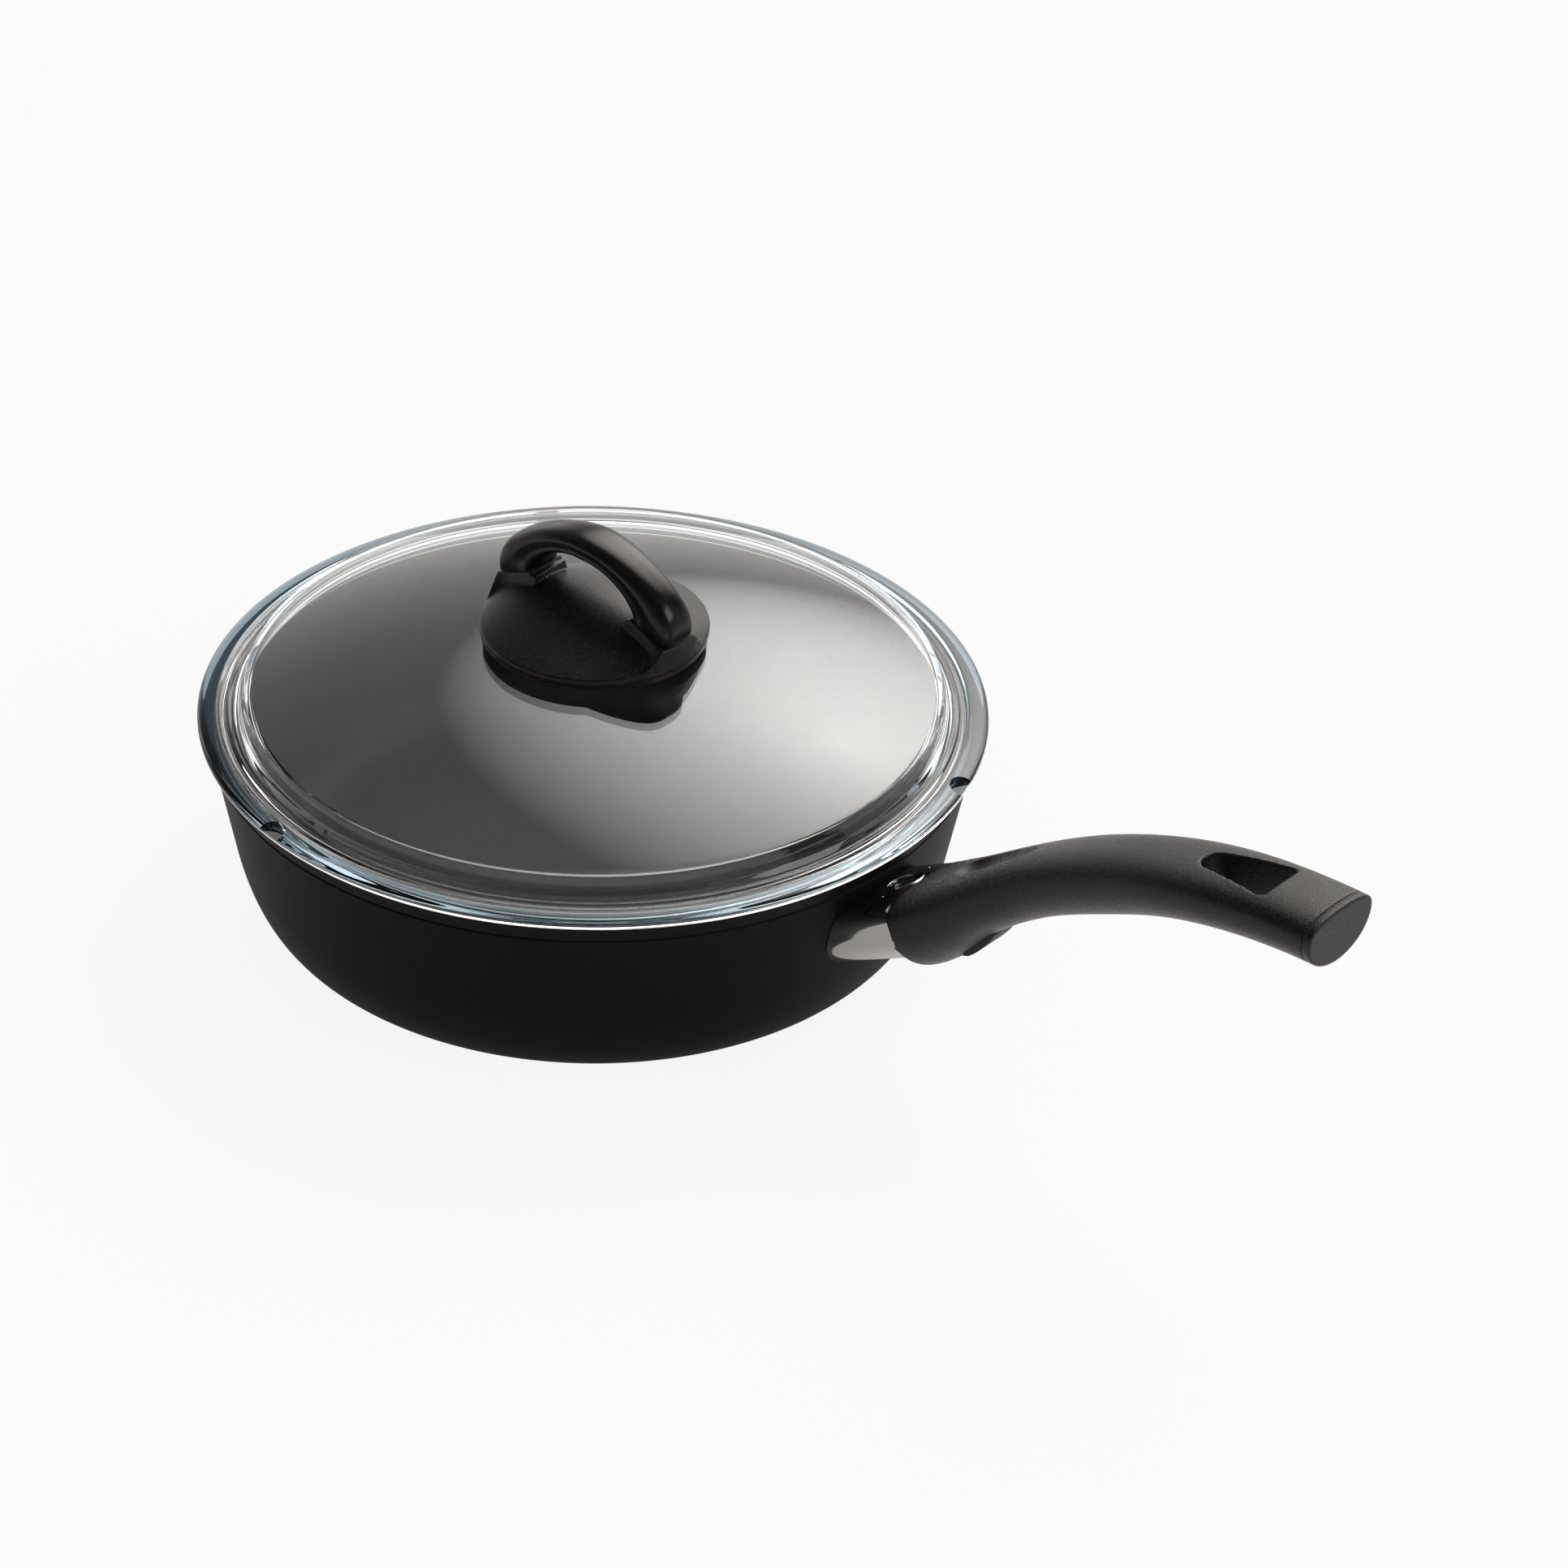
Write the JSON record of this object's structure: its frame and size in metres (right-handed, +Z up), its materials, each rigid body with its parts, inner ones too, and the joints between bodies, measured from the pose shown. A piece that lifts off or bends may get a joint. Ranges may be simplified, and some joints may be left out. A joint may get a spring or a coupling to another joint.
{
  "type": "saute pan with lid",
  "caption": "Cast saute pan with a domed glass lid, an arched lid knob and a long handle held by a steel collar and a rocking latch.",
  "frame": {"origin": "middle of the base disc's resting face, on the axis of the pan", "axes": "+Z up along the axis of the pan, +X along the handle, away from the pan"},
  "size_m": [0.4888, 0.296, 0.1547],
  "materials": {
    "nonstick_black": "matte non-stick coating on cast aluminium",
    "base_steel": "turned",
    "cast_alloy": "as cast",
    "fastener_steel": "satin",
    "polished_steel": "polished",
    "grip_plastic": "fine texture",
    "cap_plastic": "fine texture",
    "latch_plastic": "moulded",
    "pin_black": "black oxide",
    "spring_steel": "drawn wire",
    "lid_glass": "clear pressed glass",
    "silicone": "moulded",
    "knob_plastic": "satin thermoset",
    "brass": "turned"
  },
  "bodies": {
    "root": {"pan_body": "nonstick_black", "base_disc": "base_steel", "pan_lug": "cast_alloy", "lug_screws": "fastener_steel", "handle_collar": "polished_steel", "handle_core": "cast_alloy", "handle_screws": "fastener_steel", "handle_grip": "grip_plastic", "end_cap": "cap_plastic", "latch_pivot": "fastener_steel", "latch_spring": "spring_steel"},
    "lid": {"lid_glass": "lid_glass", "knob_seal": "silicone", "knob_foot": "knob_plastic", "knob_insert": "brass", "knob_arch": "knob_plastic", "arch_screws": "fastener_steel", "knob_screw": "fastener_steel", "knob_washer": "fastener_steel", "washer_seal": "silicone"},
    "latch": {"latch_lever": "latch_plastic", "lock_pin": "pin_black"}
  },
  "joints": [
    {"name": "lid_lift", "type": "slide", "parent": "root", "child": "lid", "axis": [0, 0, 1], "range_m": [0, 0.12]},
    {"name": "latch_rock", "type": "hinge", "parent": "root", "child": "latch", "pos_m": [0.20018, 0, 0.09087], "axis": [0, 1, 0], "range_deg": [0, 3.1], "stiffness_Nm_per_rad": 0.5, "springref_deg": -11.46, "deforming": ["latch_spring"]}
  ]
}
